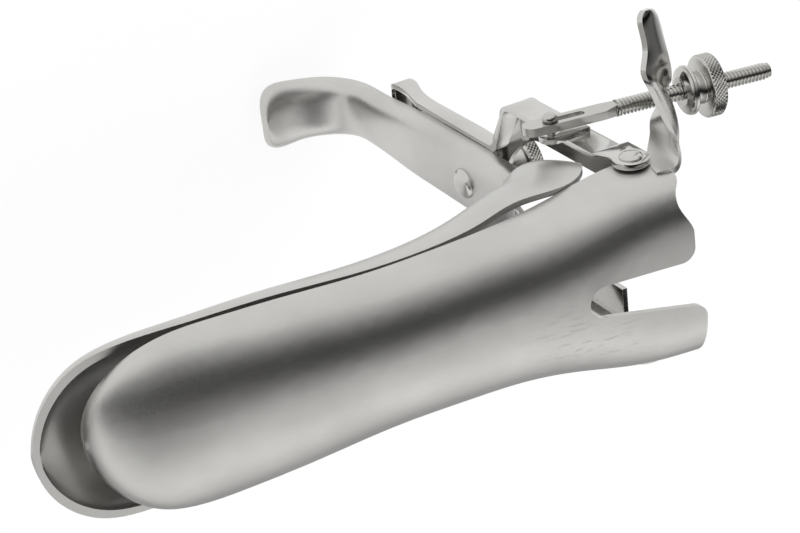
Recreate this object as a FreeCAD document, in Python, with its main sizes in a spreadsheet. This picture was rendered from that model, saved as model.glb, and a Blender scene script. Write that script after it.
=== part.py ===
import FreeCAD, Part
import Sketcher
import math
import os

# Bivalve speculum, closed, in millimetres.
# It is worked out in a frame whose origin is the middle of the blades' hinge axis:
# +X runs to the blade tips, +Z up along the handle, -Y to the side with the thumb lever.
# Every piece is then placed with the origin at the centre of the closed instrument's box.

V = FreeCAD.Vector

SIZES = {
    # centre of the closed instrument's box, from the middle of the hinge axis
    "centre_x": 40.74, "centre_y": -9.86, "centre_z": -51.1,
    # sheet metal and clearances
    "sheet": 1.2,
    "sheet_gap": 0.3,
    "running": 0.05,
    "past_rim": 1.5,
    "skirt": 4.0,
    "least_half": 0.8, "least_tall": 1.5, "least_hollow": 0.9,
    # upper blade
    "upper_tip": 115.0, "upper_nose": 18.0, "upper_nose_in": 2.8,
    "upper_rim_drop": 2.0, "upper_rim_slope": 0.03,
    "nose_dip": 4.0, "nose_dip_start": 102.0,
    "rear_near": -4.6, "rear_tab": -6.6, "rear_scoop": 2.4,
    "notch_half": 3.4, "notch_depth": 18.0, "notch_flare": 3.2,
    "rear_corner": 3.0,
    # hinge
    "hinge_half": 20.7,
    "ear_round": 3.7,
    "rivet_shank": 1.5, "rivet_head": 2.3, "rivet_head_tall": 0.8, "rivet_bevel": 0.5, "rivet_gap": 0.5,
    # lower blade and handle
    "lower_tip": 124.5, "lower_nose": 17.5, "lower_nose_in": 3.2,
    "lower_rim_drop": 3.5, "lower_rim_slope": 0.04,
    "bend_x": 22.7, "bend_z": -39.0, "bend_round": 15.0, "wing_in": 0.9,
    "handle_half": 7.6, "handle_depth": 4.7, "waist_half": 6.3,
    "curl_round": 12.0, "curl_x": 19.7, "curl_z": -99.5,
    "curl_turn": 100.0, "curl_end": 4.5, "curl_half": 7.8,
    # clamp stud and nut
    "stud_z": -52.8, "stud_shank": 2.0, "stud_length": 19.0,
    "stud_head": 3.4, "stud_head_tall": 1.5, "stud_bevel": 1.0, "stud_bevel_tall": 0.9,
    "clamp_nut_nose": 4.3, "clamp_nut_neck": 5.3, "clamp_nut_rim": 6.5,
    "clamp_nut_cone": 4.6, "clamp_nut_step": 0.7, "clamp_nut_knurl": 2.5, "nut_edge": 0.4,
    # yoke
    "yoke_front": 2.9, "tail_back": -0.8, "arm_back": -3.6,
    "tail_half": 8.8, "arm_in": 0.05, "tail_top": -46.6,
    "shoulder_z": -43.5, "arm_corner": 3.5, "foot_z": -96.2, "foot_back": -3.4, "foot_corner": 4.0,
    "window_half": 12.0, "window_round_z": -35.4,
    "slot_top": -50.6, "slot_low": -76.0,
    "joggle_low": -8.7, "joggle_high": -5.5,
    "lug_round": 2.6,
    # adjusting rod, measured along it from the pivot pin
    "pin_x": 5.0, "pin_z": -20.1, "rod_slope": 10.4,
    "rod_beside": 3.25, "rod_round": 1.75, "rod_flat_half": 2.15, "rod_flat_thick": 1.8,
    "rod_front": 5.9, "rod_thread_from": 14.2, "rod_taper": 3.0, "rod_end": 48.4,
    "rod_lead": 1.4, "rod_lead_round": 1.5,
    "rod_slot": 6.5,
    "pin_neck": 0.85, "pin_head": 1.6, "pin_head_tall": 1.3, "pin_bevel": 0.6,
    # spool nut
    "spool_at": 28.6, "spool_flange": 5.15, "spool_flange_long": 2.1,
    "spool_waist": 3.4, "spool_waist_long": 2.3,
    "spool_disc": 6.5, "spool_disc_long": 2.8,
    # thumb lever
    "lever_hole": 2.75,
}
# Sizes that follow from the ones above
FORMULAS = {
    "upper_nose_half": "hinge_half - upper_nose_in",
    "lower_nose_half": "hinge_half - lower_nose_in",
    "wing_half": "hinge_half - wing_in",
    "arm_half": "hinge_half - arm_in",
    "rod_y": "-(arm_half + rod_beside)",
    "rivet_reach": "rivet_head_tall + rivet_gap + sheet_gap + 2 * sheet",
    "pin_reach": "rod_beside + rod_flat_thick / 2 + sheet_gap",
    "nut_bore": "stud_shank + running",
    "stud_head_face": "stud_head - stud_bevel",
    "clamp_nut_rim_face": "clamp_nut_rim - nut_edge",
    "spool_flange_face": "spool_flange - nut_edge",
    "spool_flange_land": "spool_flange_long - nut_edge",
    "spool_disc_face": "spool_disc - nut_edge",
    "rivet_head_face": "rivet_head - rivet_bevel",
    "rivet_land": "rivet_head_tall - rivet_bevel",
    "pin_head_face": "pin_head - pin_bevel",
    "pin_land": "pin_head_tall - pin_bevel",
    "spool_bore": "rod_round + running",
}

doc = FreeCAD.newDocument("speculum")
sheet = doc.addObject("Spreadsheet::Sheet", "Sizes")
for row, (name, content) in enumerate({**SIZES, **FORMULAS}.items(), start=1):
    sheet.set("A%d" % row, name)
    sheet.set("B%d" % row, "=" + content if name in FORMULAS else str(content))
    sheet.setAlias("B%d" % row, name)
doc.recompute()


def size(name):
    """One size of the instrument."""
    return float(sheet.get(name))


PLACE = FreeCAD.Placement(
    V(-size("centre_x"), -size("centre_y"), -size("centre_z")), FreeCAD.Rotation())
SHEET = size("sheet")


def between(table, x):
    """Straight-line reading of a table of (x, value) pairs."""
    for (x0, v0), (x1, v1) in zip(table, table[1:]):
        if x <= x1:
            break
    return v0 + (v1 - v0) * (x - x0) / (x1 - x0)


def smooth(table, x):
    """Reading of a table of (x, value) pairs along a smooth curve through them."""
    last = len(table) - 1
    if x <= table[0][0]:
        return table[0][1]
    if x >= table[last][0]:
        return table[last][1]
    i = max(k for k in range(last) if table[k][0] <= x)
    slopes = []
    for k in (i, i + 1):
        a, b = max(k - 1, 0), min(k + 1, last)
        slopes.append((table[b][1] - table[a][1]) / (table[b][0] - table[a][0]))
    span = table[i + 1][0] - table[i][0]
    u = (x - table[i][0]) / span
    return ((1 + 2 * u) * (1 - u) ** 2 * table[i][1] + u * (1 - u) ** 2 * span * slopes[0]
            + u * u * (3 - 2 * u) * table[i + 1][1] + u * u * (u - 1) * span * slopes[1])


ARCH_POINTS = 13


def arch_points(centre, side, rise, half, tall, power):
    """Points of a trough section: an arch of superellipse shape over a straight base line.
    The base lies in `centre`, along `side`; the arch rises along `rise`."""
    points = []
    for k in range(ARCH_POINTS):
        turn = math.pi * k / (ARCH_POINTS - 1)
        c, s = math.cos(turn), math.sin(turn)
        across = half * math.copysign(abs(c) ** (2 / power), c)
        points.append(centre + side * across + rise * (tall * abs(s) ** (2 / power)))
    return points


def trough_solid(sections, rises, skirt):
    """A closed solid through arch sections, as a smooth surface over a flat base.
    With a skirt, straight walls go down past the base lines, so the solid can cut a trough open."""
    steps = [0.0]
    middle = sections[len(sections) // 2]
    for one, other in zip(middle, middle[1:]):
        steps.append(steps[-1] + (other - one).Length)
    wires = []
    for row, rise in zip(sections, rises):
        arch = Part.BSplineCurve()
        arch.interpolate(Points=row, Parameters=[step / steps[-1] for step in steps])
        path = [row[-1], row[0]]
        if skirt:
            path = [row[-1], row[-1] - rise * skirt, row[0] - rise * skirt, row[0]]
        lines = [Part.LineSegment(a, b).toShape() for a, b in zip(path, path[1:])]
        wires.append(Part.Wire([arch.toShape()] + lines))
    return Part.makeLoft(wires, True, False)


def feature(label, shape):
    """A pressed or milled piece, put in its place."""
    piece = doc.addObject("Part::Feature", label)
    piece.Label = label
    piece.Shape = shape
    piece.Placement = PLACE
    return piece


# Upper blade

# How far the sides lie inside the hinge walls, the crown's height, and how square the arch is
UPPER_IN = [(-9, 0.0), (-4, 0.0), (0, 0.0), (5, 0.3), (10.7, 0.9), (19, 2.6), (28, 3.8),
            (39, 4.4), (52.5, 4.8), (64.5, 4.2), (80, 3.2), (90, 2.8), (97, 2.8)]
UPPER_CROWN = [(-9, 14.0), (-4, 13.2), (5, 11.8), (18, 10.0), (30, 8.4), (45, 7.4), (60, 6.6),
               (75, 5.9), (88, 4.6), (97, 2.9), (104, 0.6), (109, -2.0), (113, -5.2), (115, -8.0)]
UPPER_POWER = [(-9, 4.2), (2, 3.8), (12, 3.0), (25, 2.5), (60, 2.3), (115, 2.2)]


def upper_rim(x):
    dip = max(0.0, x - size("nose_dip_start")) / (size("upper_tip") - size("nose_dip_start"))
    return -size("upper_rim_drop") - size("upper_rim_slope") * x - size("nose_dip") * dip ** 2


def nose_stations(start, tip, nose, angles):
    """Places along a blade: the straight part, then steps round the elliptic nose."""
    return start + [tip - nose * (1 - math.sin(math.radians(a))) for a in angles]


NOSE_ANGLES = (0, 26, 46, 62, 74, 84)
UPPER_STATIONS = [-9, -4, 1, 8, 17, 28, 42, 58, 76, 88]
INSET_SHIFT = 0.6


def half_width(table, x, tip, nose, nose_half):
    """Half width of a blade, with the tip closed by an ellipse."""
    start = tip - nose
    if x <= start:
        return size("hinge_half") - smooth(table, x)
    return nose_half * math.sqrt(max(0.0, 1 - ((x - start) / nose) ** 2))


def upper_solid(inset):
    """The blade's outer form, or with an inset the hollow that is cut out of it."""
    sections, rises = [], []
    tip, nose, nose_half = size("upper_tip") - inset, size("upper_nose"), size("upper_nose_half")
    past = size("past_rim") if inset else 0.0
    least = size("least_hollow") if inset else size("least_tall")
    for x in nose_stations(UPPER_STATIONS, tip, nose, NOSE_ANGLES):
        half = half_width(UPPER_IN, x, tip, nose, nose_half)
        half = half - inset if x <= tip - nose else half * (nose_half - inset) / nose_half
        rim = upper_rim(x)
        tall = max(smooth(UPPER_CROWN, x + inset * INSET_SHIFT) - rim - inset, least)
        sections.append(arch_points(V(x, 0, rim - past), V(0, 1, 0), V(0, 0, 1),
                                    max(half, size("least_half")), tall + past, between(UPPER_POWER, x)))
        rises.append(V(0, 0, 1))
    return trough_solid(sections, rises, size("skirt") if inset else 0.0)


# Stations of the thumb lever from its root in the wall to its rounded end: its rear edge, its front
# edge, as (x, distance outside the hinge wall, z), and how far the sheet bows to the rear between them.
LEVER = [((-2.4, -0.6, 1.0), (-1.4, -0.7, 6.4), 0.05),
         ((-4.4, -0.6, -1.0), (-4.4, -0.6, 7.2), 0.05),
         ((-6.8, -0.5, -3.8), (-6.6, -0.2, 6.4), 0.3),
         ((-10.6, -0.2, -7.9), (-9.4, 1.6, 2.6), 1.6),
         ((-13.2, -0.1, -11.2), (-11.2, 3.2, -2.4), 2.9),
         ((-15.8, 0.1, -14.3), (-12.4, 5.3, -7.0), 3.1),
         ((-20.2, 0.4, -18.2), (-13.3, 8.2, -11.2), 2.2),
         ((-22.3, 4.4, -17.9), (-12.8, 10.5, -12.5), 0.9),
         ((-21.9, 8.6, -16.9), (-13.1, 12.5, -12.9), 0.5),
         ((-20.9, 14.2, -17.1), (-14.3, 15.5, -13.8), 0.5),
         ((-20.0, 18.4, -17.1), (-13.8, 19.5, -13.9), 0.5),
         ((-18.7, 21.4, -16.6), (-13.9, 22.0, -14.4), 0.4),
         ((-17.0, 22.6, -15.9), (-15.3, 22.9, -15.2), 0.1)]


def lever_strip():
    """The twisted thumb lever, as a run of thin bowed sections."""
    wall = size("hinge_half")
    edges = [(V(rear[0], -wall - rear[1], rear[2]), V(front[0], -wall - front[1], front[2]))
             for rear, front, _ in LEVER]
    middles = [(rear + front) * 0.5 for rear, front in edges]
    wires = []
    last = len(LEVER) - 1
    for i, (rear, front) in enumerate(edges):
        run = middles[min(i + 1, last)] - middles[max(i - 1, 0)]
        out = run.cross(front - rear)
        out.normalize()
        half, bow = out * (SHEET / 2), out * LEVER[i][2]
        inner = Part.Arc(rear - half, middles[i] + bow - half, front - half).toShape()
        outer = Part.Arc(front + half, middles[i] + bow + half, rear + half).toShape()
        ends = [Part.LineSegment(front - half, front + half).toShape(),
                Part.LineSegment(rear + half, rear - half).toShape()]
        wires.append(Part.Wire([inner, ends[0], outer, ends[1]]))
    return Part.makeLoft(wires, True, False)


def rod_direction():
    slope = math.radians(size("rod_slope"))
    return V(-math.cos(slope), 0, math.sin(slope))


def along_rod(distance):
    return V(size("pin_x"), size("rod_y"), size("pin_z")) + rod_direction() * distance


# The shallow scoop in the rear edge beside the lever: (share of its depth, distance inside the wall)
REAR_SCOOP = [(0.0, 0.0), (0.1, 1.2), (0.8, 3.0), (1.0, 5.2), (0.55, 8.0), (0.0, 11.0)]


def rear_outline():
    """Everything the rear cut keeps, seen from above, as a thick prism."""
    near, tab = size("rear_near"), size("rear_tab")
    notch, deep = size("notch_half"), size("notch_depth")
    scoop = size("rear_scoop")
    r = size("rear_corner")
    flared, wall = notch + size("notch_flare"), size("hinge_half")
    far, wide = size("upper_tip") + SHEET, 2 * wall
    s = math.sqrt(0.5)
    hollow = Part.BSplineCurve()
    hollow.interpolate([V(near + scoop * share, y - wall, 0) for share, y in REAR_SCOOP])
    edges = [
        Part.LineSegment(V(far, -wide, 0), V(near, -wide, 0)),
        Part.LineSegment(V(near, -wide, 0), V(near, -wall, 0)),
        hollow,
        Part.LineSegment(V(near, REAR_SCOOP[-1][1] - wall, 0), V(near, -notch - r, 0)),
        Part.Arc(V(near, -notch - r, 0), V(near + r * (1 - s), -notch - r * (1 - s), 0),
                 V(near + r, -notch, 0)),
        Part.LineSegment(V(near + r, -notch, 0), V(deep - notch, -notch, 0)),
        Part.Arc(V(deep - notch, -notch, 0), V(deep, 0, 0), V(deep - notch, notch, 0)),
        Part.LineSegment(V(deep - notch, notch, 0), V(tab + r, flared, 0)),
        Part.Arc(V(tab + r, flared, 0), V(tab + r * (1 - s), flared + r * (1 - s), 0),
                 V(tab, flared + r, 0)),
        Part.LineSegment(V(tab, flared + r, 0), V(tab, wide, 0)),
        Part.LineSegment(V(tab, wide, 0), V(far, wide, 0)),
        Part.LineSegment(V(far, wide, 0), V(far, -wide, 0)),
    ]
    face = Part.Face(Part.Wire([edge.toShape() for edge in edges]))
    face.translate(V(0, 0, -wide))
    return face.extrude(V(0, 0, 2 * wide))


def side_cylinder(x, z, radius, y_from, y_to):
    """A cylinder along Y between two values of y."""
    low, high = min(y_from, y_to), max(y_from, y_to)
    return Part.makeCylinder(radius, high - low, V(x, low, z), V(0, 1, 0))


def largest(shape):
    """The one sheet that is left after the cuts."""
    return max(shape.Solids, key=lambda solid: solid.Volume)


def upper_blade():
    """Shell, cut to its rear outline, with the lever, the ears round the rivets and their holes."""
    wall = size("hinge_half")
    shell = upper_solid(0).cut(upper_solid(SHEET))
    shell = shell.common(rear_outline())
    ears = [side_cylinder(0, 0, size("ear_round"), side * (wall - SHEET), side * wall) for side in (-1, 1)]
    shape = shell.multiFuse([lever_strip()] + ears)
    hole = size("rivet_shank") + size("running")
    cutters = [side_cylinder(0, 0, hole, side * (wall - 2 * SHEET), side * (wall + SHEET)) for side in (-1, 1)]
    start = size("rod_thread_from")
    cutters.append(Part.makeCylinder(size("lever_hole"), size("spool_at") + SHEET - start,
                                     along_rod(start), rod_direction()))
    return largest(shape.cut(cutters))


# Lower blade with handle

# How far the sides lie inside the hinge walls, and how deep the trough is
LOWER_IN = [(23, 1.5), (30, 3.3), (40, 4.9), (53, 5.4), (69, 4.3), (84, 3.4), (94, 3.3),
            (101, 3.2), (107, 3.2)]
LOWER_DEEP = [(23, 19.6), (35, 16.2), (50, 14.0), (70, 12.4), (90, 11.0), (105, 9.0), (115, 6.2),
              (121, 3.8), (124.5, 1.8)]
# The bend into the handle: turn from upright, share of the wings' width left, wall depth
BEND = [(18, 1.0, 22.6), (28, 1.0, 20.2), (38, 0.705, 14.2), (50, 0.33, 9.3), (66, 0.08, 5.9), (90, 0.0, 4.7)]
HANDLE_HALF = [(-112, 7.6), (-99.5, 6.6), (-95, 6.3), (-88, 6.7), (-80, 7.3), (-60, 7.6), (-39, 7.6)]
LOWER_STATIONS = [31, 43, 58, 76, 94]
HANDLE_STATIONS = (-50, -66, -80, -89, -97)
CURL_STATIONS = (16, 36, 58, 80, 100)
CURL_CLOSE = (40, 65, 82)
TROUGH_POWER, HANDLE_POWER, CURL_POWER = 2.3, 4.5, 3.0


def lower_rim(x):
    return -size("lower_rim_drop") - size("lower_rim_slope") * x


def lower_section(skin, outward, half, deep, power, inset):
    """One section of the pressed trough. `skin` is the outer face's middle point, `outward`
    points from the skin to the open side. Gives its points and the way the arch rises."""
    past = size("past_rim") if inset else 0.0
    rim = skin + outward * (deep + past)
    rise = outward * -1
    tall = max(deep - inset, size("least_hollow")) + past
    return arch_points(rim, V(0, 1, 0), rise, max(half - inset, size("least_half")), tall, power), rise


def blade_sections(inset):
    """From the tip back to where the blade turns down."""
    tip, nose, nose_half = size("lower_tip") - inset, size("lower_nose"), size("lower_nose_half")
    least = size("least_tall") + inset / 3
    sections = []
    for x in reversed(nose_stations(LOWER_STATIONS, tip, nose, NOSE_ANGLES)):
        half = half_width(LOWER_IN, x, tip, nose, nose_half)
        if x > tip - nose:
            half = half * (nose_half - inset) / nose_half + inset
        deep = smooth(LOWER_DEEP, x + inset * INSET_SHIFT)
        skin = V(x, 0, lower_rim(x) - deep)
        sections.append(lower_section(skin, V(0, 0, 1), half, max(deep, least), TROUGH_POWER, inset))
    return sections


def bend_sections(inset):
    """Round the bend, where the wings close in to the handle's width."""
    centre, bend_round = V(size("bend_x"), 0, size("bend_z")), size("bend_round")
    handle, wing = size("handle_half"), size("wing_half")
    skin = centre + V(0, 0, bend_round)
    first = smooth(LOWER_DEEP, size("bend_x")) + SHEET / 4
    sections = [lower_section(skin, V(0, 0, 1), wing - SHEET / 2, first, TROUGH_POWER, inset)]
    for turn, share, deep in BEND:
        angle = math.radians(turn)
        outward = V(-math.sin(angle), 0, math.cos(angle))
        power = TROUGH_POWER + (HANDLE_POWER - TROUGH_POWER) * turn / 90
        sections.append(lower_section(centre + outward * bend_round, outward,
                                      handle + (wing - handle) * share, deep, power, inset))
    return sections


def handle_sections(inset):
    """The straight channel of the handle."""
    face_x = size("bend_x") - size("bend_round")
    widths = [(z, half - HANDLE_HALF[-1][1] + size("handle_half")) for z, half in HANDLE_HALF]
    return [lower_section(V(face_x, 0, z), V(-1, 0, 0), smooth(widths, z), size("handle_depth"),
                          HANDLE_POWER, inset) for z in HANDLE_STATIONS]


def curl_sections(inset):
    """The curl at the handle's end, and its rounded closing."""
    curl, curl_round = V(size("curl_x"), 0, size("curl_z")), size("curl_round")
    waist, wide, deep = size("waist_half") + inset / 4, size("curl_half"), size("handle_depth")
    sections = []
    for turn in CURL_STATIONS:
        angle = math.radians(turn)
        outward = V(-math.cos(angle), 0, -math.sin(angle))
        share = turn / size("curl_turn")
        power = HANDLE_POWER + (CURL_POWER - HANDLE_POWER) * share
        sections.append(lower_section(curl + outward * curl_round, outward, waist + (wide - waist) * share,
                                      deep - SHEET / 2 * share, power, inset))
    forward = V(math.sin(angle), 0, -math.cos(angle))
    end = size("curl_end") - inset / 2
    for lean in CURL_CLOSE:
        reach, drop = math.sin(math.radians(lean)), math.cos(math.radians(lean))
        skin = curl + outward * curl_round + forward * (end * reach)
        half = (wide - inset) * drop ** 0.7 + inset
        depth = size("least_tall") * 1.5 + (deep - size("least_tall") * 2) * drop
        sections.append(lower_section(skin, outward, half, depth, CURL_POWER, inset))
    return sections


def lower_solid(inset):
    """Outer form of the lower sheet, or with an inset its hollow."""
    sections = blade_sections(inset) + bend_sections(inset) + handle_sections(inset) + curl_sections(inset)
    return trough_solid([points for points, _ in sections], [rise for _, rise in sections],
                        size("skirt") if inset else 0.0)


def lower_blade():
    shape = lower_solid(0).cut(lower_solid(SHEET))
    face_x = size("bend_x") - size("bend_round")
    hole = Part.makeCylinder(size("stud_shank"), 2 * size("handle_depth"),
                             V(face_x + SHEET, 0, size("stud_z")), V(-1, 0, 0))
    return largest(shape.cut(hole))


# Yoke: a pressed tray with its walls turned to the front, two arms and a finger cup at the foot

def yoke_front_outline(inset):
    """The yoke seen from the front, with arm tops left long."""
    tail, arm = size("tail_half") - inset, size("arm_half") - inset
    top = size("tail_top") + inset
    shoulder = size("shoulder_z") + inset
    corner = size("arm_corner") - inset
    foot, crown = size("foot_z") + inset, size("joggle_low") - 0.5
    heel = size("foot_corner") - inset
    round_half = tail + 2.4
    points = [V(0, tail, foot + heel), V(0, tail, top - 3.0), V(0, round_half, top - 0.4),
              V(0, arm - corner, shoulder)]
    s = math.sqrt(0.5)
    edges = [Part.Arc(V(0, tail - heel, foot), V(0, tail - heel * (1 - s), foot + heel * (1 - s)), points[0]),
             Part.LineSegment(points[0], points[1]),
             Part.Arc(points[1], V(0, tail + 0.7, top - 1.2), points[2]),
             Part.LineSegment(points[2], points[3]),
             Part.Arc(points[3], V(0, arm - corner * 0.29, shoulder + corner * 0.35),
                      V(0, arm, shoulder + corner * 1.1)),
             Part.LineSegment(V(0, arm, shoulder + corner * 1.1), V(0, arm, crown))]
    mirrored = []
    for edge in reversed(edges):
        shape = edge.toShape().mirror(V(0, 0, 0), V(0, 1, 0))
        mirrored.append(shape)
    top_edge = Part.LineSegment(V(0, arm, crown), V(0, -arm, crown)).toShape()
    low_edge = Part.LineSegment(V(0, heel - tail, foot), V(0, tail - heel, foot)).toShape()
    shapes = [edge.toShape() for edge in edges] + [top_edge] + mirrored + [low_edge]
    face = Part.Face(Part.Wire(Part.__sortEdges__(shapes)))
    face.translate(V(10, 0, 0))
    return face.extrude(V(-30, 0, 0))


# The yoke's back from the arms down to the cup at the foot: (share from arm to tail depth, z)
YOKE_BACK = [(0.0, -38.0), (0.0, -41.0), (0.5, -44.5), (1.0, -48.0), (1.0, -52.0), (1.0, -70.0), (1.0, -79.0)]
# The front edge of the walls beside the cup: (x, z)
YOKE_FORE = [(2.2, -83.0), (1.3, -88.0), (1.3, -92.0)]
CUP_LIP, CUP_BACK, CUP_START = 2.6, 0.9, 1.0


def yoke_side_outline(inset):
    """The yoke seen from the side: deep at the arms, shallow at the tail, a rounded cup at the foot."""
    front, tail, arm = size("yoke_front"), size("tail_back") + inset, size("arm_back") + inset
    foot, cup = size("foot_z") + inset, size("foot_back") + inset
    points = [V(arm + (tail - arm) * share, 0, z) for share, z in YOKE_BACK]
    points += [V(tail - CUP_START, 0, -85.5), V(cup, 0, -91.5), V(cup + CUP_BACK, 0, foot + CUP_BACK * 1.4),
               V(cup + CUP_LIP, 0, foot)]
    back = Part.BSplineCurve()
    back.interpolate(points)
    top, out, low = 6.0, 4 * front, YOKE_BACK[-1][1]
    if inset:
        path = [points[-1], V(out, 0, foot), V(out, 0, top), V(arm, 0, top), points[0]]
        curves = [back]
    else:
        path = [V(front, 0, low), V(front, 0, top), V(arm, 0, top), points[0]]
        fore = Part.BSplineCurve()
        fore.interpolate([path[0]] + [V(x, 0, z) for x, z in YOKE_FORE]
                         + [V(cup + CUP_LIP + CUP_BACK * 2, 0, foot + CUP_LIP / 2), points[-1]])
        curves = [back, fore]
    edges = [Part.LineSegment(a, b).toShape() for a, b in zip(path, path[1:])]
    edges += [curve.toShape() for curve in curves]
    face = Part.Face(Part.Wire(Part.__sortEdges__(edges)))
    wide = 2 * size("hinge_half")
    face.translate(V(0, -wide, 0))
    return face.extrude(V(0, 2 * wide, 0))


def arm_end(side):
    """The arm's joggled end, which steps outside the blade and carries the hinge rivet."""
    inner_low = size("arm_half") - SHEET
    inner_high = size("hinge_half") + size("sheet_gap")
    low, high, ear = size("joggle_low"), size("joggle_high"), size("ear_round")
    under, bend = low - 2 * SHEET, SHEET * 0.4
    points = [(inner_low, under), (inner_low, low), (inner_high, high), (inner_high, 2 * ear),
              (inner_high + SHEET, 2 * ear), (inner_high + SHEET, high - bend), (inner_low + SHEET, low - bend),
              (inner_low + SHEET, under)]
    front, back = size("yoke_front"), size("arm_back")
    corners = [V(2 * front, side * y, z) for y, z in points]
    plate = Part.Face(Part.makePolygon(corners + corners[:1])).extrude(V(-4 * front, 0, 0))
    inside, outside = side * (inner_low - SHEET), side * (inner_high + 2 * SHEET)
    disc = side_cylinder(0, 0, ear, inside, outside)
    stem = Part.makeBox(front - back, abs(outside - inside), -under,
                        V(back, min(inside, outside), under))
    hole = side_cylinder(0, 0, size("rivet_shank"), inside, outside)
    return plate.common(disc.fuse(stem)).cut(hole)


def pin_lug():
    """A small ear outside the arm on the lever's side that carries the rod's pivot pin."""
    outer, radius = size("arm_half"), size("lug_round")
    x, z = size("pin_x"), size("pin_z")
    ear = side_cylinder(x, z, radius, -outer - SHEET, -outer)
    neck = Part.makeBox(x + radius, SHEET, 2 * radius, V(-radius, -outer - SHEET, z - radius))
    return ear.fuse(neck)


def stud_slot():
    """The long slot in the tail, which slides on the clamp stud."""
    half = size("stud_shank") + size("sheet_gap")
    top, low, deep = size("slot_top"), size("slot_low"), 2 * size("yoke_front")
    slot = Part.makeBox(deep, 2 * half, top - low, V(-deep / 2, -half, low))
    ends = [Part.makeCylinder(half, deep, V(-deep / 2, 0, z), V(1, 0, 0)) for z in (top, low)]
    return slot.multiFuse(ends)


def arm_window():
    """The big window between the arms, round below and open to the hinge."""
    half, round_z, deep = size("window_half"), size("window_round_z"), 4 * size("arm_back")
    window = Part.makeCylinder(half, -2 * deep, V(deep, 0, round_z), V(1, 0, 0))
    return window.fuse(Part.makeBox(-2 * deep, 2 * half, -2 * round_z, V(deep, -half, round_z)))


def yoke():
    """Tray with turned-up walls, window and slot, two arm ends and the pin's lug."""
    outer = yoke_front_outline(0).common(yoke_side_outline(0))
    inner = yoke_front_outline(SHEET).common(yoke_side_outline(SHEET))
    wide, low = 2 * size("hinge_half"), size("joggle_low") - 1.0
    crown = Part.makeBox(wide, 2 * wide, wide, V(-wide / 2, -wide, low))
    shape = outer.cut(inner).cut([arm_window(), stud_slot(), crown])
    shape = shape.multiFuse([arm_end(-1), arm_end(1), pin_lug()])
    arm = size("arm_half")
    return largest(shape.cut(side_cylinder(size("pin_x"), size("pin_z"), size("pin_neck"),
                                           -arm - 2 * SHEET, -arm + SHEET)))


# Turned pieces. Each profile is a list of corners (distance along the axis, radius), and both are
# written as sums of named sizes

def total(names):
    """A sum of named sizes."""
    return sum(size(name) for name in names)


def formula(names):
    """The same sum as a formula on the sheet."""
    return " + ".join("Sizes." + name for name in names)


def origin_item(body, role):
    """A plane or axis of a body's own origin."""
    return next(item for item in body.Origin.OriginFeatures if item.Role == role)


def turned_body(label, profile, placement):
    """A body turned about its own X axis."""
    body = doc.addObject("PartDesign::Body", label)
    body.Label = label
    sketch = body.newObject("Sketcher::SketchObject", label + "_profile")
    sketch.AttachmentSupport = (origin_item(body, "XY_Plane"), [""])
    sketch.MapMode = "FlatFace"
    corners = [V(total(along), total(radius), 0) for along, radius in profile]
    for start, end in zip(corners, corners[1:] + corners[:1]):
        sketch.addGeometry(Part.LineSegment(start, end))
    count = len(corners)
    for i in range(count):
        sketch.addConstraint(Sketcher.Constraint("Coincident", i, 2, (i + 1) % count, 1))
    for i, (along, radius) in enumerate(profile):
        for names, kind, axis in ((along, "DistanceX", -2), (radius, "DistanceY", -1)):
            if names:
                n = sketch.addConstraint(Sketcher.Constraint(kind, -1, 1, i, 1, total(names)))
                sketch.setExpression("Constraints[%d]" % n, formula(names))
            else:
                sketch.addConstraint(Sketcher.Constraint("PointOnObject", i, 1, axis))
    turned = body.newObject("PartDesign::Revolution", label + "_turned")
    turned.Profile = sketch
    turned.ReferenceAxis = (sketch, ["H_Axis"])
    turned.Angle = 360
    body.Placement = PLACE.multiply(placement)
    return body


def facing(direction, point):
    """Turns a body's own X axis to a direction, and puts its start at a point."""
    return FreeCAD.Placement(point, FreeCAD.Rotation(V(1, 0, 0), direction))


def clamp_stud():
    """Low domed head in the handle's channel, shank out to the rear."""
    head = size("stud_head_tall")
    start = V(size("bend_x") - size("bend_round") + head, 0, size("stud_z"))
    profile = [((), ()), ((), ("stud_head_face",)), (("stud_bevel_tall",), ("stud_head",)),
               (("stud_head_tall",), ("stud_head",)), (("stud_head_tall",), ("stud_shank",)),
               (("stud_length",), ("stud_shank",)), (("stud_length",), ())]
    return turned_body("clamp_stud", profile, facing(V(-1, 0, 0), start))


def clamp_nut():
    """Round nut: a smooth cone, a step out to the knurled rim, both rim edges eased."""
    start = V(size("tail_back") - size("sheet_gap"), 0, size("stud_z"))
    bore = ("nut_bore",)
    cone, step = ("clamp_nut_cone",), ("clamp_nut_cone", "clamp_nut_step")
    end = step + ("clamp_nut_knurl",)
    profile = [((), bore), ((), ("clamp_nut_nose",)), (cone, ("clamp_nut_neck",)),
               (step, ("clamp_nut_rim",)), (end, ("clamp_nut_rim",)),
               (end + ("nut_edge",), ("clamp_nut_rim_face",)), (end + ("nut_edge",), bore)]
    return turned_body("clamp_nut", profile, facing(V(-1, 0, 0), start))


def spool_nut():
    """Flange, waist and knurled disc, with eased edges."""
    bore, edge = ("spool_bore",), ("nut_edge",)
    flange = ("spool_flange_long",)
    waist = flange + ("spool_waist_long",)
    end = waist + ("spool_disc_long",)
    profile = [((), bore), ((), ("spool_flange_face",)), (edge, ("spool_flange",)),
               (("spool_flange_land",), ("spool_flange",)), (flange, ("spool_flange_face",)),
               (flange, ("spool_waist",)), (waist, ("spool_waist",)), (waist, ("spool_disc_face",)),
               (waist + edge, ("spool_disc",)), (end, ("spool_disc",)),
               (end + edge, ("spool_disc_face",)), (end + edge, bore)]
    return turned_body("spool_nut", profile, facing(rod_direction(), along_rod(size("spool_at"))))


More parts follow.
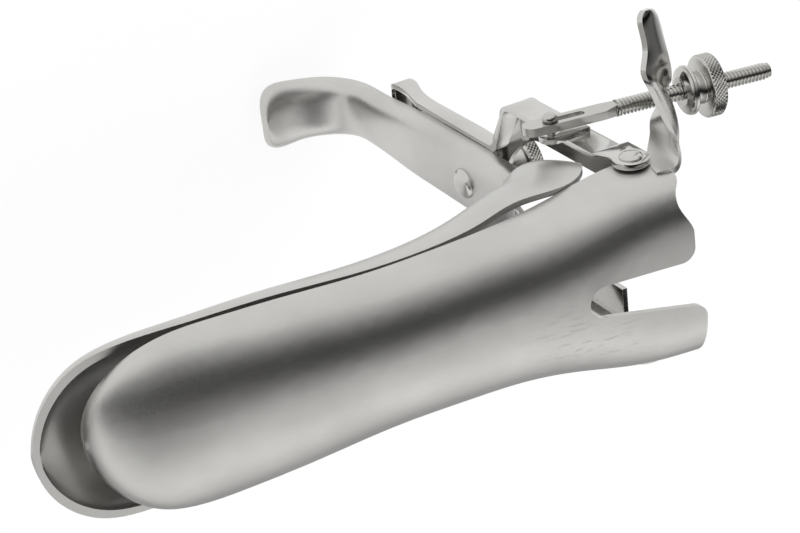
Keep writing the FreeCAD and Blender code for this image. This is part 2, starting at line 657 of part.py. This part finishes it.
def rivet(label, side):
    """Pressed into the arm, it runs in the blade's wall and is headed inside the blade."""
    inner = size("hinge_half") - SHEET - size("rivet_gap") - size("rivet_head_tall")
    reach, head = ("rivet_reach",), ("rivet_head",)
    outer = reach + ("rivet_head_tall",)
    profile = [((), ()), ((), head), (("rivet_head_tall",), head), (("rivet_head_tall",), ("rivet_shank",)),
               (reach, ("rivet_shank",)), (reach, head), (reach + ("rivet_land",), head),
               (outer, ("rivet_head_face",)), (outer, ())]
    return turned_body(label, profile, facing(V(0, side, 0), V(0, side * inner, 0)))


def rod_pivot_pin():
    """Pressed into the lug, it carries the rod's slotted eye under a small head."""
    start = V(size("pin_x"), -size("arm_half"), size("pin_z"))
    reach, outer = ("pin_reach",), ("pin_reach", "pin_head_tall")
    profile = [((), ()), ((), ("pin_neck",)), (reach, ("pin_neck",)), (reach, ("pin_head",)),
               (reach + ("pin_land",), ("pin_head",)), (outer, ("pin_head_face",)), (outer, ())]
    return turned_body("rod_pivot_pin", profile, facing(V(0, -1, 0), start))


def square(x, half_y, half_z):
    """A four-cornered wire across the rod."""
    corners = [V(x, -half_y, -half_z), V(x, half_y, -half_z), V(x, half_y, half_z), V(x, -half_y, half_z)]
    return Part.makePolygon(corners + corners[:1])


def adjusting_rod():
    """Flat slotted eye in front, round and threaded behind, with a short plain lead at the end."""
    half, thick = size("rod_flat_half"), size("rod_flat_thick")
    front, thread, end = -size("rod_front"), size("rod_thread_from"), size("rod_end") - size("rod_lead")
    flat_end = thread - size("rod_taper")
    eye = front + half
    flat = Part.makeBox(flat_end - eye, thick, 2 * half, V(eye, -thick / 2, -half))
    nose = Part.makeCylinder(half, thick, V(eye, -thick / 2, 0), V(0, 1, 0))
    inscribed = size("rod_round") * 0.96 / math.sqrt(2)
    neck = Part.makeLoft([square(flat_end, thick / 2, half), square(thread, inscribed, inscribed)], True, True)
    threaded = Part.makeCylinder(size("rod_round"), end - thread, V(thread, 0, 0), V(1, 0, 0))
    lead = Part.makeCylinder(size("rod_lead_round"), size("rod_lead"), V(end, 0, 0), V(1, 0, 0))
    clear, run = size("pin_neck") + size("running"), size("rod_slot")
    slot = Part.makeBox(run, 2 * thick, 2 * clear, V(0, -thick, -clear))
    ends = [Part.makeCylinder(clear, 2 * thick, V(x, -thick, 0), V(0, 1, 0)) for x in (0, run)]
    shape = flat.multiFuse([nose, neck, threaded, lead]).cut([slot] + ends)
    turn = FreeCAD.Rotation(V(0, 1, 0), 180 + size("rod_slope"))
    piece = feature("adjusting_rod", shape.removeSplitter())
    piece.Placement = PLACE.multiply(FreeCAD.Placement(along_rod(0), turn))
    return piece


PIECES = [
    feature("upper_blade", upper_blade()),
    feature("lower_blade_handle", lower_blade()),
    feature("yoke", yoke()),
    clamp_stud(),
    clamp_nut(),
    rivet("hinge_rivet_near", -1),
    rivet("hinge_rivet_far", 1),
    rod_pivot_pin(),
    adjusting_rod(),
    spool_nut(),
]
doc.recompute()

for item in doc.Objects:
    bad = [state for state in item.State if state in ("Invalid", "Error")]
    if bad:
        raise RuntimeError("%s is %s" % (item.Name, bad))
for piece in PIECES:
    if piece.Shape.isNull() or not piece.Shape.isValid():
        raise RuntimeError("%s has no valid shape" % piece.Label)

os.makedirs("parts", exist_ok=True)
for piece in PIECES:
    piece.Shape.exportStep("parts/%s.step" % piece.Label)
    print(piece.Label, round(piece.Shape.Volume, 1), len(piece.Shape.Solids))
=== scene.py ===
import bpy
import math
from mathutils import Matrix, Vector


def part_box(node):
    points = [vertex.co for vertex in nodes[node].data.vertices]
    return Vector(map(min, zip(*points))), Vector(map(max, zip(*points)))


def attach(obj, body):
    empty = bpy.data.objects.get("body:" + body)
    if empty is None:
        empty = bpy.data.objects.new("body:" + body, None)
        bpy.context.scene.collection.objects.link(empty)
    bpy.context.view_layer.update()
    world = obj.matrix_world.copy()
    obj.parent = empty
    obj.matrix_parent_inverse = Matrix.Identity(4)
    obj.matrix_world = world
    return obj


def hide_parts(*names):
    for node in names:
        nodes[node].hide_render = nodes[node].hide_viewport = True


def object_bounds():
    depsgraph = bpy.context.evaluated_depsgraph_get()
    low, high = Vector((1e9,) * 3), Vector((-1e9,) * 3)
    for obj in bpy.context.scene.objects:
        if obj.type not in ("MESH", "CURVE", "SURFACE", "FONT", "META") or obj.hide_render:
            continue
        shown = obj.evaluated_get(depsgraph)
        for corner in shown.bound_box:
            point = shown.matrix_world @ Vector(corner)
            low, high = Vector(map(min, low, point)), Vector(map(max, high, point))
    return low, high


# A bivalve speculum of stainless steel: two pressed blades on a riveted hinge, a slotted yoke that
# slides on the handle, a clamp nut behind it, and a threaded rod with a spool nut at the side.
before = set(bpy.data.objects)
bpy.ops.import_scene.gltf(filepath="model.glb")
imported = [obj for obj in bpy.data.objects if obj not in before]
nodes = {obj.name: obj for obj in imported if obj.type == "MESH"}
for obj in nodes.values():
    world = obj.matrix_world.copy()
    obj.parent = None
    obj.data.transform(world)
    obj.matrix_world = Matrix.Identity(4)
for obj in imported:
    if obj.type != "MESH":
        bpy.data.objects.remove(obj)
cad_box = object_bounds()
bpy.ops.object.select_all(action="DESELECT")


# Upper blade: one pressed sheet of stainless steel, 1.2 mm thick, cut and folded into a trough with
# a notch, a tab and the twisted thumb lever. It is bead blasted to a soft satin.
MM = 0.001


def linear(hex_colour):
    """An sRGB hex colour as linear RGBA."""
    values = [int(hex_colour[i:i + 2], 16) / 255 for i in (1, 3, 5)]
    return [v / 12.92 if v <= 0.04045 else ((v + 0.055) / 1.055) ** 2.4 for v in values] + [1.0]


def add(tree, kind, settings=None, **links):
    """Adds a node: settings are its properties, links its inputs as a value or a socket, by name or
    by number with an i before it."""
    node = tree.nodes.new(kind)
    for name, value in (settings or {}).items():
        setattr(node, name, value)
    for name, value in links.items():
        numbered = name[0] == "i" and name[1:].isdigit()
        socket = node.inputs[int(name[1:]) if numbered else name.replace("_", " ")]
        if isinstance(value, bpy.types.NodeSocket):
            tree.links.new(value, socket)
        else:
            socket.default_value = value
    return node


def ramp(tree, source, stops):
    """A colour ramp over a value, with (place, grey or hex colour) stops."""
    node = add(tree, "ShaderNodeValToRGB", Fac=source)
    while len(node.color_ramp.elements) < len(stops):
        node.color_ramp.elements.new(0.5)
    for element, (place, colour) in zip(node.color_ramp.elements, stops):
        element.position = place
        element.color = linear(colour) if isinstance(colour, str) else [colour] * 3 + [1.0]
    return node.outputs["Color"]


drift_scale = 55.0
grain_height = 0.04 * MM


def steel(name, dark, light, smooth, rough, grain_mm, grain_stretch, bump):
    """Stainless steel: the colour drifts a little over 18 mm, and the roughness and the relief
    follow the grain of the finish."""
    material = bpy.data.materials.new(name)
    material.use_nodes = True
    tree = material.node_tree
    shader = tree.nodes["Principled BSDF"]
    shader.inputs["Metallic"].default_value = 1.0
    place = add(tree, "ShaderNodeTexCoord").outputs["Object"]
    drift = add(tree, "ShaderNodeTexNoise", Vector=place, Scale=drift_scale, Detail=3.0,
                Roughness=0.55)
    colour = ramp(tree, drift.outputs["Fac"], [(0.3, dark), (0.7, light)])
    tree.links.new(colour, shader.inputs["Base Color"])
    stretched = add(tree, "ShaderNodeMapping", Vector=place, Scale=grain_stretch)
    grain = add(tree, "ShaderNodeTexNoise", Vector=stretched.outputs["Vector"],
                Scale=1000.0 / grain_mm, Detail=2.0)
    spots = ramp(tree, grain.outputs["Fac"], [(0.25, smooth), (0.8, rough)])
    tree.links.new(spots, shader.inputs["Roughness"])
    relief = add(tree, "ShaderNodeBump", Height=grain.outputs["Fac"], Strength=bump,
                 Distance=grain_height)
    tree.links.new(relief.outputs["Normal"], shader.inputs["Normal"])
    return material


# Bead-blasted stainless sheet: soft, slightly warm grey with wide blurred reflections. The blast
# marks are about 0.15 mm, drawn at 0.35 mm so that they show.
satin_sheet = steel("bead_blasted_stainless_sheet", dark="#c6c5c2", light="#d2d1ce", smooth=0.30,
                    rough=0.37, grain_mm=0.35, grain_stretch=(1, 1, 1), bump=0.12)
tree = satin_sheet.node_tree
satin = tree.nodes["Principled BSDF"].inputs["Roughness"]
where = add(tree, "ShaderNodeTexCoord").outputs["Object"]

# The lever stands out past the blade's wall. Fingers wear its satin to half the roughness.
lever_from, lever_bright, lever_wear = -12.5 * MM, -18.0 * MM, 0.5
sideways = add(tree, "ShaderNodeSeparateXYZ", Vector=where).outputs["Y"]
worn = add(tree, "ShaderNodeMapRange", Value=sideways, i1=lever_bright, i2=lever_from,
           i3=lever_wear, i4=1.0)
rubbed = add(tree, "ShaderNodeMath", {"operation": "MULTIPLY"}, i0=satin.links[0].from_socket,
             i1=worn.outputs[0])

# Handling leaves a patch of faint scuffs by the notch, lines about 0.4 mm wide and eight times as
# long. They are duller than the satin.
scuffed_at, scuffed_round = Vector((-22.0, 21.0, 60.0)) * MM, 16.0 * MM
scuff_turn, scuff_stretch, scuff_scale, scuff_dull = 0.5, 0.12, 1300.0, 0.16
along = add(tree, "ShaderNodeMapping", Vector=where, Rotation=(0, 0, scuff_turn),
            Scale=(scuff_stretch, 1, 1))
lines = add(tree, "ShaderNodeTexNoise", Vector=along.outputs["Vector"], Scale=scuff_scale,
            Detail=2.0)
few = add(tree, "ShaderNodeMapRange", Value=lines.outputs["Fac"], i1=0.55, i2=0.68)
far = add(tree, "ShaderNodeVectorMath", {"operation": "DISTANCE"}, i0=where, i1=scuffed_at)
here = add(tree, "ShaderNodeMapRange", Value=far.outputs["Value"], i1=scuffed_round,
           i2=scuffed_round / 3)
scuffs = add(tree, "ShaderNodeMath", {"operation": "MULTIPLY"}, i0=few.outputs[0],
             i1=here.outputs[0])
duller = add(tree, "ShaderNodeMath", {"operation": "MULTIPLY_ADD"}, i0=scuffs.outputs[0],
             i1=scuff_dull, i2=rubbed.outputs[0])
tree.links.new(duller.outputs[0], satin)


def finish_node(name, material):
    """Gives a solid of the frame its finish."""
    node = nodes[name]
    node.data.materials.clear()
    node.data.materials.append(material)


finish_node("upper_blade", satin_sheet)

# Lower blade with handle: the same sheet, pressed into a longer trough, bent down into a channel
# handle whose end curls forward. Its satin is that of the upper blade.
finish_node("lower_blade_handle", satin_sheet)

# Yoke: a slotted slide pressed from the same sheet, polished brighter than the blades. Its sheared
# edges are tumbled round before polishing, which a bevel on a copy of the solid gives.
eased_edge, flat_angle, edge_angle = 0.22 * MM, math.radians(2.0), math.radians(40)
weld = 0.002 * MM

# Polished stainless sheet: clear, slightly blurred reflections with fine lines down its length,
# from the polishing belt. The lines are drawn 0.5 mm apart so that they show.
polished_sheet = steel("polished_stainless_sheet", dark="#c4c3c0", light="#d3d2cf", smooth=0.12,
                       rough=0.2, grain_mm=0.5, grain_stretch=(1, 1, 0.15), bump=0.15)


def worked_copy(node, name):
    """A solid's mesh as a new piece, with its loose triangles merged and selected in edit mode."""
    bpy.ops.object.select_all(action="DESELECT")
    piece = nodes[node].copy()
    piece.data = nodes[node].data.copy()
    for key in list(piece.keys()):
        del piece[key]
    piece.parent = None
    piece.name = piece.data.name = name
    bpy.context.scene.collection.objects.link(piece)
    piece.hide_render = piece.hide_viewport = False
    piece.select_set(True)
    bpy.context.view_layer.objects.active = piece
    bpy.ops.object.mode_set(mode="EDIT")
    bpy.ops.mesh.select_all(action="SELECT")
    bpy.ops.mesh.remove_doubles(threshold=weld)
    bpy.ops.mesh.select_all(action="SELECT")
    return piece


def finish_piece(piece, body, material, slot, *stands_for, crisp=38):
    """Smooths a piece up to its sharp edges, and gives it its finish and its place in the frame."""
    bpy.ops.object.select_all(action="DESELECT")
    piece.select_set(True)
    bpy.context.view_layer.objects.active = piece
    bpy.ops.object.shade_smooth_by_angle(angle=math.radians(crisp))
    piece.data.materials.clear()
    piece.data.materials.append(material)
    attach(piece, body)
    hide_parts(*stands_for)


finish_node("yoke", polished_sheet)
eased = worked_copy("yoke", "yoke_eased")
bpy.ops.mesh.dissolve_limited(angle_limit=flat_angle)
bpy.ops.object.mode_set(mode="OBJECT")
rounding = eased.modifiers.new("eased_edges", "BEVEL")
rounding.width, rounding.segments = eased_edge, 2
rounding.limit_method, rounding.angle_limit = "ANGLE", edge_angle
bpy.ops.object.modifier_apply(modifier=rounding.name)
finish_piece(eased, "slide", polished_sheet, "polished_steel", "yoke", crisp=30)

# Clamp stud: a bright stainless screw with a low domed head in the handle's channel and a fine
# rolled thread behind it. It is pressed into the handle and carries the clamp nut.
stud_head, stud_head_tall, stud_round, stud_neck = 3.4, 1.5, 2.0, 1.98
stud_thread_from, stud_thread_long, stud_lead, stud_lead_round = 5.0, 14.0, 0.6, 1.6
thread_pitch, thread_deep, thread_run_in = 0.8, 0.42, 0.5
# From the root of the thread to its crest and back, in even steps
thread_steps = (0.0, 0.0, 0.55, 1.0, 1.0, 0.55)
turned_crisp = 24

# Turned stainless bar: bright with fine blurred tool marks, drawn at 0.4 mm so that they show.
turned_bar = steel("turned_stainless_bar", dark="#bfbeba", light="#d0cfcb", smooth=0.14,
                   rough=0.24, grain_mm=0.4, grain_stretch=(1, 1, 1), bump=0.15)


def place_along(piece, start, direction):
    """Turns a piece built in millimetres along Z into the frame, and puts its start at a point."""
    turn = Vector(direction).to_track_quat("Z", "Y").to_matrix().to_4x4()
    piece.data.transform(Matrix.Translation(start) @ turn @ Matrix.Scale(MM, 4))
    piece.data.update()


def turned(name, profile, sides=64, bored=False):
    """A turned piece: a circle is extruded and resized from corner to corner of its profile, which
    holds (distance along the axis, radius) in millimetres. A bored one closes on itself."""
    bpy.ops.object.select_all(action="DESELECT")
    along, radius = profile[0]
    bpy.ops.mesh.primitive_circle_add(vertices=sides, radius=radius, location=(0, 0, along),
                                      fill_type="NOTHING" if bored else "NGON")
    piece = bpy.context.object
    piece.name = piece.data.name = name
    bpy.ops.object.transform_apply(location=True)
    bpy.ops.object.mode_set(mode="EDIT")
    bpy.ops.mesh.select_all(action="SELECT")
    for next_along, next_radius in profile[1:]:
        step = (0, 0, next_along - along)
        bpy.ops.mesh.extrude_region_move(TRANSFORM_OT_translate={"value": step})
        scale = next_radius / radius
        bpy.ops.transform.resize(value=(scale, scale, 1), center_override=(0, 0, next_along))
        along, radius = next_along, next_radius
    bpy.ops.mesh.select_all(action="SELECT")
    bpy.ops.mesh.remove_doubles(threshold=0.001)
    bpy.ops.mesh.normals_make_consistent(inside=False)
    bpy.ops.object.mode_set(mode="OBJECT")
    return piece


def threaded(name, length, radius, lead, lead_radius, sides=32):
    """A rolled thread in millimetres: a grid is rolled up so that its rows follow the helix, cut
    off square, closed at its ends, and drawn in to a lead at its far end."""
    bpy.ops.object.select_all(action="DESELECT")
    steps = len(thread_steps)
    rows = int(length / thread_pitch + 2) * steps
    bpy.ops.mesh.primitive_grid_add(x_subdivisions=sides, y_subdivisions=rows, size=1)
    piece = bpy.context.object
    piece.name = piece.data.name = name
    for vertex in piece.data.vertices:
        turn = vertex.co.x + 0.5
        row = round((vertex.co.y + 0.5) * rows)
        along = ((row / steps) - 1 + turn) * thread_pitch
        along = min(max(along, 0.0), length)
        top = radius if along < length - lead else \
            radius + (lead_radius - radius) * (along - length + lead) / lead
        cut = thread_deep * (1 - thread_steps[row % steps]) * min(1.0, along / thread_run_in)
        angle = 2 * math.pi * turn
        vertex.co = ((top - cut) * math.cos(angle), (top - cut) * math.sin(angle), along)
    bpy.ops.object.mode_set(mode="EDIT")
    bpy.ops.mesh.select_all(action="SELECT")
    bpy.ops.mesh.remove_doubles(threshold=0.0005)
    bpy.ops.mesh.select_all(action="DESELECT")
    bpy.ops.mesh.select_mode(type="EDGE")
    bpy.ops.mesh.select_non_manifold()
    bpy.ops.mesh.fill_holes(sides=0)
    bpy.ops.mesh.select_all(action="SELECT")
    bpy.ops.mesh.normals_make_consistent(inside=False)
    bpy.ops.object.mode_set(mode="OBJECT")
    return piece


def join(first, second):
    """Joins two finished meshes of one piece."""
    bpy.ops.object.select_all(action="DESELECT")
    first.select_set(True)
    second.select_set(True)
    bpy.context.view_layer.objects.active = first
    bpy.ops.object.join()


stud_low, stud_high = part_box("clamp_stud")
stud_start = Vector((stud_high.x, (stud_low.y + stud_high.y) / 2,
                     (stud_low.z + stud_high.z) / 2))
stud = turned("stud", [(0.0, 0.8), (0.05, 1.5), (0.2, 2.2), (0.5, 2.85), (0.9, 3.25),
                       (1.25, stud_head), (stud_head_tall, stud_head),
                       (stud_head_tall, stud_neck), (stud_thread_from, stud_neck)])
stud_thread = threaded("stud_thread", stud_thread_long, stud_round, stud_lead, stud_lead_round)
stud_thread.data.transform(Matrix.Translation((0, 0, stud_thread_from)))
join(stud, stud_thread)
place_along(stud, stud_start, (-1, 0, 0))
finish_piece(stud, "handle_blade", turned_bar, "polished_steel", "clamp_stud",
             crisp=turned_crisp)

# Clamp nut: turned from the same bar, a smooth cone in front and a diamond knurled rim behind. It
# screws along the stud and holds the yoke.
clamp_bore, clamp_long, cone_nose, cone_end, cone_long = 2.05, 8.2, 4.35, 5.2, 4.3
knurl_round, knurl_sides, knurl_pitch, knurl_deep = 6.5, 96, 0.42, 0.3
on_rim = 0.001


def rim_rows(start, length):
    """Rings across a rim, close enough for the knurl's points."""
    count = round(length / knurl_pitch)
    return [(start + length * k / count, knurl_round) for k in range(count + 1)]


def knurl(piece):
    """Sinks every other point of a rim and creases it between the high ones, which leaves crossing
    rows of small diamonds."""
    rim = [vertex for vertex in piece.data.vertices
           if abs(math.hypot(vertex.co.x, vertex.co.y) - knurl_round) < on_rim]
    rows = sorted({round(vertex.co.z, 4) for vertex in rim})
    for vertex in rim:
        column = round(math.atan2(vertex.co.y, vertex.co.x) / (2 * math.pi) * knurl_sides)
        if (column + rows.index(round(vertex.co.z, 4))) % 2:
            share = 1 - knurl_deep / knurl_round
            vertex.co.x, vertex.co.y = vertex.co.x * share, vertex.co.y * share
    points = {vertex.index for vertex in rim}
    bpy.ops.object.mode_set(mode="EDIT")
    bpy.ops.mesh.select_mode(type="FACE")
    bpy.ops.mesh.select_all(action="DESELECT")
    bpy.ops.object.mode_set(mode="OBJECT")
    for face in piece.data.polygons:
        face.select = points.issuperset(face.vertices)
    bpy.ops.object.mode_set(mode="EDIT")
    bpy.ops.mesh.quads_convert_to_tris(quad_method="LONGEST_DIAGONAL", ngon_method="BEAUTY")
    bpy.ops.mesh.select_mode(type="VERT")
    bpy.ops.object.mode_set(mode="OBJECT")


clamp_low, clamp_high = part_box("clamp_nut")
clamp_start = Vector((clamp_high.x, (clamp_low.y + clamp_high.y) / 2,
                      (clamp_low.z + clamp_high.z) / 2))
clamp_profile = [(0.0, clamp_bore), (0.0, 4.0), (0.12, 4.25), (0.4, cone_nose),
                 (cone_long, cone_end), (4.6, 5.3), (4.85, 5.9), (5.3, 6.3)] + \
    rim_rows(5.45, 2.3) + \
    [(8.0, 6.25), (clamp_long, 5.9), (clamp_long, 3.0), (7.9, 2.6), (7.9, clamp_bore),
     (0.0, clamp_bore)]
clamp = turned("clamp_nut_knurled", clamp_profile, knurl_sides, True)
knurl(clamp)
place_along(clamp, clamp_start, (-1, 0, 0))
finish_piece(clamp, "clamp", turned_bar, "polished_steel", "clamp_nut", crisp=turned_crisp)

# Hinge rivets: solid stainless rivets with low round heads, pressed in the yoke's arms. The blade
# turns on them.
rivet_shank, rivet_head, rivet_head_tall = 1.5, 2.3, 0.8
for name, side in (("hinge_rivet_near", -1), ("hinge_rivet_far", 1)):
    low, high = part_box(name)
    start = Vector(((low.x + high.x) / 2, high.y if side < 0 else low.y, (low.z + high.z) / 2))
    length = (high.y - low.y) / MM
    foot = [(0.0, 2.1), (0.12, rivet_head), (rivet_head_tall, rivet_head),
            (rivet_head_tall, rivet_shank)]
    head = [(length - rivet_head_tall, rivet_shank), (length - rivet_head_tall, rivet_head),
            (length - 0.55, rivet_head), (length - 0.3, 2.1), (length - 0.1, 1.6), (length, 0.7)]
    rivet = turned(name + "_domed", foot + head, 40)
    place_along(rivet, start, (0, side, 0))
    finish_piece(rivet, "slide", turned_bar, "polished_steel", name)

# Pivot pin: a small headed stainless pin, pressed in the yoke's lug, that the rod's slotted eye
# slides and turns on.
pin_neck, pin_head, pin_head_tall = 0.85, 1.6, 1.3
pin_low, pin_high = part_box("rod_pivot_pin")
pin_start = Vector(((pin_low.x + pin_high.x) / 2, pin_high.y, (pin_low.z + pin_high.z) / 2))
pin_long = (pin_high.y - pin_low.y) / MM
pin_profile = [(0.0, pin_neck), (pin_long - pin_head_tall, pin_neck),
               (pin_long - pin_head_tall, pin_head), (pin_long - 0.7, pin_head),
               (pin_long - 0.3, 1.4), (pin_long - 0.08, 1.0), (pin_long, 0.4)]
pin = turned("pivot_pin_domed", pin_profile, 32)
place_along(pin, pin_start, (0, -1, 0))
finish_piece(pin, "slide", turned_bar, "polished_steel", "rod_pivot_pin")

# Adjusting rod: one stainless bar, milled flat in front with a slotted eye, threaded behind. Its
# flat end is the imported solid's own form; the thread is cut here and runs into it.
rod_slope, thread_from, rod_end, rod_inside = math.radians(10.4), 14.2, 48.4, 0.3
rod_round, rod_lead, rod_lead_round = 1.75, 1.4, 1.5
rod_way = Vector((-math.cos(rod_slope), 0, math.sin(rod_slope)))
rod_low, rod_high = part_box("adjusting_rod")
rod_start = Vector((pin_start.x, (rod_low.y + rod_high.y) / 2, pin_start.z))
rod = worked_copy("adjusting_rod", "rod_with_thread")
bpy.ops.mesh.bisect(plane_co=rod_start + rod_way * (thread_from + rod_inside) * MM,
                    plane_no=rod_way, use_fill=True, clear_outer=True)
bpy.ops.mesh.select_all(action="SELECT")
bpy.ops.mesh.normals_make_consistent(inside=False)
bpy.ops.object.mode_set(mode="OBJECT")
rod_thread = threaded("rod_thread", rod_end - thread_from, rod_round, rod_lead, rod_lead_round)
place_along(rod_thread, rod_start + rod_way * thread_from * MM, rod_way)
join(rod, rod_thread)
finish_piece(rod, "rod", turned_bar, "polished_steel", "adjusting_rod", crisp=turned_crisp)

# Spool nut: turned from bar on the rod's thread, a flange with two fine steps, a waist and a thick
# disc with a diamond knurl.
spool_at, spool_bore, spool_waist, spool_flange, spool_long = 28.6, 1.8, 3.4, 5.15, 7.6
spool_profile = [(0.0, spool_bore), (0.0, 3.1), (0.1, 3.3), (0.25, 4.2), (0.55, 4.75),
                 (0.85, 4.95), (0.95, 4.8), (1.15, 4.8), (1.25, 5.1), (1.5, spool_flange),
                 (1.8, 5.1), (2.0, 4.9), (2.1, 4.6), (2.1, 3.5), (2.3, spool_waist),
                 (4.2, spool_waist), (4.4, 3.5), (4.4, 6.0), (4.5, 6.25), (4.65, 6.35)] + \
    rim_rows(4.8, 2.4) + \
    [(7.4, 6.3), (spool_long, 6.0), (spool_long, 2.6), (7.35, 2.2), (7.35, spool_bore),
     (0.0, spool_bore)]
spool = turned("spool_nut_knurled", spool_profile, knurl_sides, True)
knurl(spool)
place_along(spool, rod_start + rod_way * spool_at * MM, rod_way)
finish_piece(spool, "spool", turned_bar, "polished_steel", "spool_nut", crisp=turned_crisp)

# Floor: a plain pale table under the handle. The camera sees it white and with a faint shadow. The
# steel sees it white near the handle and, by painted shade, greyer past the blades' far side.
floor_drop, floor_side = 2.0 * MM, 4.0
near_y, near_white, far_y, far_painted_shade = 30 * MM, 0.95, 100 * MM, 0.35
bpy.ops.mesh.primitive_plane_add(size=floor_side, location=(0, 0, cad_box[0].z - floor_drop))
floor = bpy.context.object
floor.name = "floor"

# White table paper: matt, and lit from behind for the camera and the steel, as a light table is.
paper = bpy.data.materials.new("white_table_paper")
paper.use_nodes = True
tree = paper.node_tree
paper_shader = tree.nodes["Principled BSDF"]
paper_shader.inputs["Base Color"].default_value = linear("#f2f2f2")
paper_shader.inputs["Roughness"].default_value = 0.9
path = add(tree, "ShaderNodeLightPath")
either = add(tree, "ShaderNodeMath", {"operation": "MAXIMUM"}, i0=path.outputs["Is Camera Ray"],
             i1=path.outputs["Is Glossy Ray"])
seen = add(tree, "ShaderNodeMath", {"operation": "MULTIPLY"}, i0=either.outputs[0], i1=0.9)
across = add(tree, "ShaderNodeTexCoord").outputs["Object"]
across = add(tree, "ShaderNodeSeparateXYZ", Vector=across).outputs["Y"]
# Painted shade: the glow that the steel mirrors fades from white near the handle to grey far off
painted_shade_fade = add(tree, "ShaderNodeMapRange", Value=across, i1=near_y, i2=far_y, i3=near_white,
           i4=far_painted_shade)
strength = add(tree, "ShaderNodeMapRange", Value=path.outputs["Is Camera Ray"],
               i3=painted_shade_fade.outputs[0], i4=1.0)
glow = add(tree, "ShaderNodeEmission", Color=(1, 1, 1, 1), Strength=strength.outputs[0])
both = add(tree, "ShaderNodeMixShader", i0=seen.outputs[0], i1=paper_shader.outputs[0],
           i2=glow.outputs[0])
tree.links.new(both.outputs[0], tree.nodes["Material Output"].inputs["Surface"])
floor.data.materials.append(paper)


# Studio: white all round with a dark ceiling over the table, which draws the dark band on the
# crown of the blade. The camera sees white.
def turn(degrees):
    """A place on the ceiling's ramp: an angle from straight up, towards +Y."""
    return (degrees + 180) / 360


ceiling_stops = [(turn(-110), 1.0), (turn(-58), 0.9), (turn(-30), 0.4), (turn(-11), 0.01),
                 (turn(14), 0.01), (turn(30), 0.85), (turn(50), 1.15), (turn(80), 0.7),
                 (turn(108), 0.22)]
world = bpy.data.worlds.new("studio")
bpy.context.scene.world = world
world.use_nodes = True
tree = world.node_tree
parts = add(tree, "ShaderNodeSeparateXYZ",
            Vector=add(tree, "ShaderNodeTexCoord").outputs["Generated"])
lean = add(tree, "ShaderNodeMath", {"operation": "ARCTAN2"}, i0=parts.outputs["Y"],
           i1=parts.outputs["Z"])
# Towards the nose of the blades the dark ceiling leans over by 16 degrees
shift = add(tree, "ShaderNodeMapRange", Value=parts.outputs["X"], i1=-0.1, i2=0.5, i3=0.0,
            i4=0.28)
band = add(tree, "ShaderNodeMath", {"operation": "SUBTRACT"}, i0=lean.outputs[0],
           i1=shift.outputs[0])
share = add(tree, "ShaderNodeMapRange", Value=band.outputs[0], i1=-math.pi, i2=math.pi)
ceiling = ramp(tree, share.outputs[0], ceiling_stops)
# Behind the handle the room is dark, which the inside of the lower blade shows
dim = add(tree, "ShaderNodeMapRange", Value=parts.outputs["X"], i1=-0.85, i2=-0.55, i3=0.15,
          i4=1.0)
dimmed = add(tree, "ShaderNodeVectorMath", {"operation": "SCALE"}, i0=ceiling,
             Scale=dim.outputs[0])
path = add(tree, "ShaderNodeLightPath")
white = add(tree, "ShaderNodeMix", {"data_type": "RGBA"}, i0=path.outputs["Is Camera Ray"],
            i6=dimmed.outputs[0], i7=(1, 1, 1, 1))
tree.links.new(white.outputs[2], tree.nodes["Background"].inputs["Color"])

# Lamps: two wide soft ones, which the steel doesn't mirror.
for name, stand, wide, watts in (("key", (-0.35, -0.1, 0.75), 0.5, 5.0),
                                 ("side", (0.2, 0.9, 0.35), 0.7, 6.0)):
    bpy.ops.object.light_add(type="AREA", location=stand)
    lamp = bpy.context.object
    lamp.name = name
    lamp.data.size = wide
    lamp.data.energy = watts
    lamp.visible_glossy = False
    lamp.rotation_euler = (-Vector(stand)).to_track_quat("-Z", "Y").to_euler()

# Camera: as the photograph was taken, from above the lever's side and near the blade tips.
camera_at = Vector((0.16424, -0.18561, 0.35429))
camera_right = (-0.8604, 0.1092, 0.4978)
camera_up = (-0.3178, -0.8785, -0.3567)
camera_back = (0.3984, -0.4651, 0.7906)
bpy.ops.object.camera_add(location=camera_at)
camera = bpy.context.object
aim = Matrix((camera_right, camera_up, camera_back)).transposed()
camera.rotation_euler = aim.to_euler()
camera.data.sensor_width = 36.0
camera.data.lens = 94.09
camera.data.clip_start, camera.data.clip_end = 0.01, 20.0
bpy.context.scene.camera = camera
bpy.context.scene.view_settings.view_transform = "Standard"
